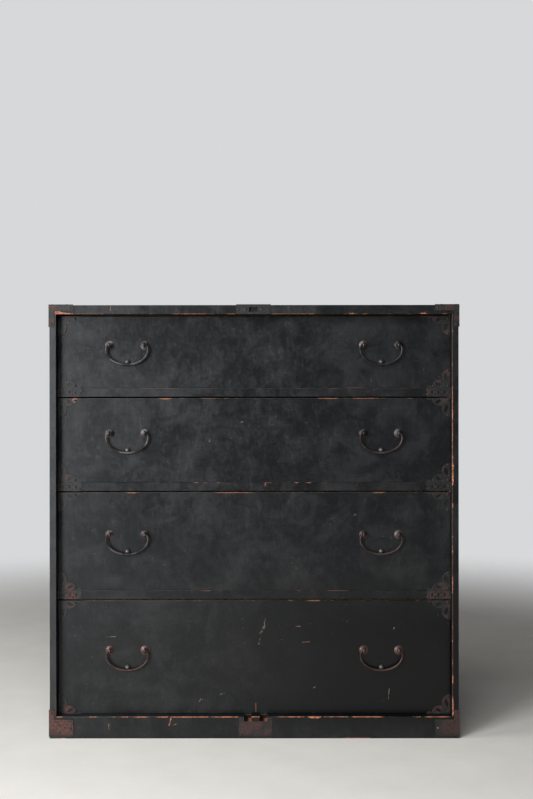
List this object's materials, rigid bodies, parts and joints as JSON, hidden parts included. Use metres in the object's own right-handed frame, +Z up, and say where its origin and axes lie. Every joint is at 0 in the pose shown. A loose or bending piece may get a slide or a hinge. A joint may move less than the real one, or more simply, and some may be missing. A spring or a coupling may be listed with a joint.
{
  "type": "tansu chest of drawers",
  "caption": "Black lacquered Japanese tansu chest of four graduated full-width drawers with forged iron bail handles and iron corner plates.",
  "frame": {"origin": "on the floor, under the centre of the chest with its irons", "axes": "+Z up, the drawers face -Y, +X to the right seen from the front"},
  "size_m": [0.8858, 0.433, 0.9349],
  "materials": {
    "black_lacquer": "worn semi-matt black lacquer over softwood",
    "bare_wood": "aged, unfinished",
    "rusty_iron": "thin hammered sheet, partly rusted",
    "forged_iron": "forged, dark, rubbed on the edges"
  },
  "bodies": {
    "case": {"side_board_left": "black_lacquer", "side_board_right": "black_lacquer", "top_board": "black_lacquer", "bottom_board": "bare_wood", "front_sill": "black_lacquer", "rear_sill": "bare_wood", "rail_1": "black_lacquer", "rail_2": "black_lacquer", "rail_3": "black_lacquer", "dust_board_1": "bare_wood", "dust_board_2": "bare_wood", "dust_board_3": "bare_wood", "back_boards": "bare_wood", "top_corner_irons": "rusty_iron", "bottom_corner_irons": "rusty_iron", "top_lock_plate": "rusty_iron", "bottom_lock_plate": "rusty_iron", "rail_end_plates": "rusty_iron", "case_nails": "forged_iron"},
    "drawer_1": {"drawer_1_front": "black_lacquer", "drawer_1_left_side": "bare_wood", "drawer_1_right_side": "bare_wood", "drawer_1_back": "bare_wood", "drawer_1_bottom": "bare_wood", "drawer_1_corner_plates": "rusty_iron", "drawer_1_handle_posts": "forged_iron", "drawer_1_nails": "forged_iron"},
    "drawer_1_left_bail_body": {"drawer_1_left_bail": "forged_iron"},
    "drawer_1_right_bail_body": {"drawer_1_right_bail": "forged_iron"},
    "drawer_2": {"drawer_2_front": "black_lacquer", "drawer_2_left_side": "bare_wood", "drawer_2_right_side": "bare_wood", "drawer_2_back": "bare_wood", "drawer_2_bottom": "bare_wood", "drawer_2_corner_plates": "rusty_iron", "drawer_2_handle_posts": "forged_iron", "drawer_2_nails": "forged_iron"},
    "drawer_2_left_bail_body": {"drawer_2_left_bail": "forged_iron"},
    "drawer_2_right_bail_body": {"drawer_2_right_bail": "forged_iron"},
    "drawer_3": {"drawer_3_front": "black_lacquer", "drawer_3_left_side": "bare_wood", "drawer_3_right_side": "bare_wood", "drawer_3_back": "bare_wood", "drawer_3_bottom": "bare_wood", "drawer_3_corner_plates": "rusty_iron", "drawer_3_handle_posts": "forged_iron", "drawer_3_nails": "forged_iron"},
    "drawer_3_left_bail_body": {"drawer_3_left_bail": "forged_iron"},
    "drawer_3_right_bail_body": {"drawer_3_right_bail": "forged_iron"},
    "drawer_4": {"drawer_4_front": "black_lacquer", "drawer_4_left_side": "bare_wood", "drawer_4_right_side": "bare_wood", "drawer_4_back": "bare_wood", "drawer_4_bottom": "bare_wood", "drawer_4_corner_plates": "rusty_iron", "drawer_4_handle_posts": "forged_iron", "drawer_4_nails": "forged_iron"},
    "drawer_4_left_bail_body": {"drawer_4_left_bail": "forged_iron"},
    "drawer_4_right_bail_body": {"drawer_4_right_bail": "forged_iron"}
  },
  "joints": [
    {"name": "drawer_1_slide", "type": "slide", "parent": "case", "child": "drawer_1", "axis": [0, -1, 0], "range_m": [0, 0.3]},
    {"name": "drawer_1_left_bail_hinge", "type": "hinge", "parent": "drawer_1", "child": "drawer_1_left_bail_body", "pos_m": [-0.275, -0.19905, 0.84665], "axis": [-1, 0, 0], "range_deg": [0, 178]},
    {"name": "drawer_1_right_bail_hinge", "type": "hinge", "parent": "drawer_1", "child": "drawer_1_right_bail_body", "pos_m": [0.275, -0.19905, 0.84665], "axis": [-1, 0, 0], "range_deg": [0, 178]},
    {"name": "drawer_2_slide", "type": "slide", "parent": "case", "child": "drawer_2", "axis": [0, -1, 0], "range_m": [0, 0.3]},
    {"name": "drawer_2_left_bail_hinge", "type": "hinge", "parent": "drawer_2", "child": "drawer_2_left_bail_body", "pos_m": [-0.275, -0.19905, 0.65565], "axis": [-1, 0, 0], "range_deg": [0, 178]},
    {"name": "drawer_2_right_bail_hinge", "type": "hinge", "parent": "drawer_2", "child": "drawer_2_right_bail_body", "pos_m": [0.275, -0.19905, 0.65565], "axis": [-1, 0, 0], "range_deg": [0, 178]},
    {"name": "drawer_3_slide", "type": "slide", "parent": "case", "child": "drawer_3", "axis": [0, -1, 0], "range_m": [0, 0.3]},
    {"name": "drawer_3_left_bail_hinge", "type": "hinge", "parent": "drawer_3", "child": "drawer_3_left_bail_body", "pos_m": [-0.275, -0.19905, 0.43615], "axis": [-1, 0, 0], "range_deg": [0, 178]},
    {"name": "drawer_3_right_bail_hinge", "type": "hinge", "parent": "drawer_3", "child": "drawer_3_right_bail_body", "pos_m": [0.275, -0.19905, 0.43615], "axis": [-1, 0, 0], "range_deg": [0, 178]},
    {"name": "drawer_4_slide", "type": "slide", "parent": "case", "child": "drawer_4", "axis": [0, -1, 0], "range_m": [0, 0.3]},
    {"name": "drawer_4_left_bail_hinge", "type": "hinge", "parent": "drawer_4", "child": "drawer_4_left_bail_body", "pos_m": [-0.275, -0.19905, 0.18515], "axis": [-1, 0, 0], "range_deg": [0, 178]},
    {"name": "drawer_4_right_bail_hinge", "type": "hinge", "parent": "drawer_4", "child": "drawer_4_right_bail_body", "pos_m": [0.275, -0.19905, 0.18515], "axis": [-1, 0, 0], "range_deg": [0, 178]}
  ]
}
